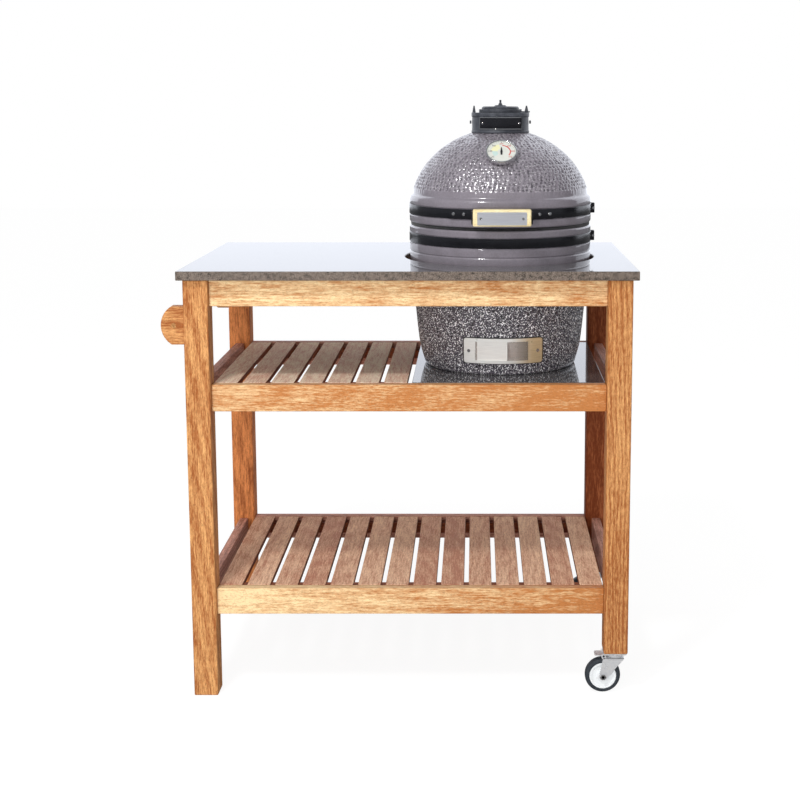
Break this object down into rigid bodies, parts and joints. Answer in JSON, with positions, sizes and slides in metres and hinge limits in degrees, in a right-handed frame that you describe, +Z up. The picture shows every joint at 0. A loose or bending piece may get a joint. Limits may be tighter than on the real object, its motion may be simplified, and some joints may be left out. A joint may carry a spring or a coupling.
{
  "type": "kamado grill table",
  "caption": "Hardwood trolley table with a stone worktop, slatted shelves and castors, holding a ceramic kamado grill with a hinged lid.",
  "frame": {"origin": "on the floor, under the middle of the whole width (push bar to worktop edge) and the whole depth", "axes": "+Z up; the front with the grill's lid handle and draft vent faces -Y; +X right, towards the castors; the push bar is at -X"},
  "size_m": [1.04, 0.62, 1.3303],
  "materials": {
    "granite": "polished speckled grey-brown granite",
    "frame_wood": "oiled golden-brown hardwood, satin",
    "slat_wood": "oiled reddish-brown hardwood, satin",
    "zinc": "bright zinc plate",
    "castor_rubber": "matt grey rubber on a pale hub",
    "glaze": "grey glaze, dimpled, with smooth rims",
    "felt": "dense dark felt",
    "band_steel": "gloss black powder coat",
    "bamboo": "lacquered pale bamboo",
    "dial": "steel case with a printed pale face",
    "pointer": "matt black",
    "cast_iron": "dark cast iron, fine grain",
    "stainless": "brushed stainless steel",
    "fireclay": "unglazed fireclay"
  },
  "bodies": {
    "root": {"worktop_slab": "granite", "post_front_left": "frame_wood", "post_rear_left": "frame_wood", "post_front_right": "frame_wood", "post_rear_right": "frame_wood", "apron_front": "frame_wood", "apron_rear": "frame_wood", "apron_left": "frame_wood", "apron_right": "frame_wood", "mid_rail_front": "frame_wood", "mid_rail_rear": "frame_wood", "mid_rail_left": "frame_wood", "mid_rail_right": "frame_wood", "low_rail_front": "frame_wood", "low_rail_rear": "frame_wood", "low_rail_left": "frame_wood", "low_rail_right": "frame_wood", "mid_deck": "slat_wood", "low_deck": "slat_wood", "hearth_slab": "granite", "handle_bracket_front": "frame_wood", "handle_bracket_rear": "frame_wood", "push_bar": "frame_wood", "castor_front_mount": "zinc", "castor_rear_mount": "zinc", "base_shell": "glaze", "lower_gasket": "felt", "lower_band": "band_steel", "lower_band_bolt": "band_steel", "hinge_lower_bracket": "band_steel", "hinge_pin": "zinc", "hinge_spring": "zinc", "vent_frame": "stainless", "vent_screen": "stainless", "fire_box": "fireclay", "fire_ring": "fireclay", "fire_grate": "cast_iron", "cooking_grid": "cast_iron"},
    "lid": {"dome_shell": "glaze", "upper_gasket": "felt", "upper_band": "band_steel", "upper_band_bolt": "band_steel", "hinge_upper_bracket": "band_steel", "lid_handle": "bamboo", "handle_arm_left": "band_steel", "handle_arm_right": "band_steel", "thermometer": "dial", "chimney_cap": "cast_iron"},
    "damper": {"damper_plate": "cast_iron"},
    "daisy": {"daisy_wheel": "cast_iron"},
    "needle": {"thermometer_needle": "pointer"},
    "draft_door": {"vent_door": "stainless"},
    "front_fork": {"castor_front_fork": "zinc", "castor_front_axle": "zinc"},
    "front_wheel": {"castor_front_wheel": "castor_rubber"},
    "front_brake": {"castor_front_brake": "zinc"},
    "rear_fork": {"castor_rear_fork": "zinc", "castor_rear_axle": "zinc"},
    "rear_wheel": {"castor_rear_wheel": "castor_rubber"},
    "rear_brake": {"castor_rear_brake": "zinc"}
  },
  "joints": [
    {"name": "lid_hinge", "type": "hinge", "parent": "root", "child": "lid", "pos_m": [0.224, 0.242, 1.0455], "axis": [-1, 0, 0], "range_deg": [0, 75]},
    {"name": "damper_swing", "type": "hinge", "parent": "lid", "child": "damper", "pos_m": [0.285, 0, 1.305], "axis": [0, 0, -1], "range_deg": [0, 70]},
    {"name": "daisy_turn", "type": "hinge", "parent": "damper", "child": "daisy", "pos_m": [0.224, 0, 1.309], "axis": [0, 0, 1], "continuous": true},
    {"name": "needle_turn", "type": "hinge", "parent": "lid", "child": "needle", "pos_m": [0.224, -0.15042, 1.20735], "axis": [0, -0.6724, 0.7402], "range_deg": [-120, 120]},
    {"name": "draft_door_slide", "type": "hinge", "parent": "root", "child": "draft_door", "pos_m": [0.224, 0, 0.7695], "axis": [0, 0, 1], "range_deg": [-4.5, 13]},
    {"name": "front_swivel", "type": "hinge", "parent": "root", "child": "front_fork", "pos_m": [0.481, -0.271, 0.09], "axis": [0, 0, 1], "continuous": true},
    {"name": "front_wheel_spin", "type": "hinge", "parent": "front_fork", "child": "front_wheel", "pos_m": [0.454, -0.271, 0.04], "axis": [0, 1, 0], "continuous": true},
    {"name": "front_brake_press", "type": "hinge", "parent": "front_fork", "child": "front_brake", "pos_m": [0.455, -0.271, 0.088], "axis": [0, -1, 0], "range_deg": [0, 28]},
    {"name": "rear_swivel", "type": "hinge", "parent": "root", "child": "rear_fork", "pos_m": [0.481, 0.271, 0.09], "axis": [0, 0, 1], "continuous": true},
    {"name": "rear_wheel_spin", "type": "hinge", "parent": "rear_fork", "child": "rear_wheel", "pos_m": [0.454, 0.271, 0.04], "axis": [0, 1, 0], "continuous": true},
    {"name": "rear_brake_press", "type": "hinge", "parent": "rear_fork", "child": "rear_brake", "pos_m": [0.455, 0.271, 0.088], "axis": [0, -1, 0], "range_deg": [0, 28]}
  ]
}
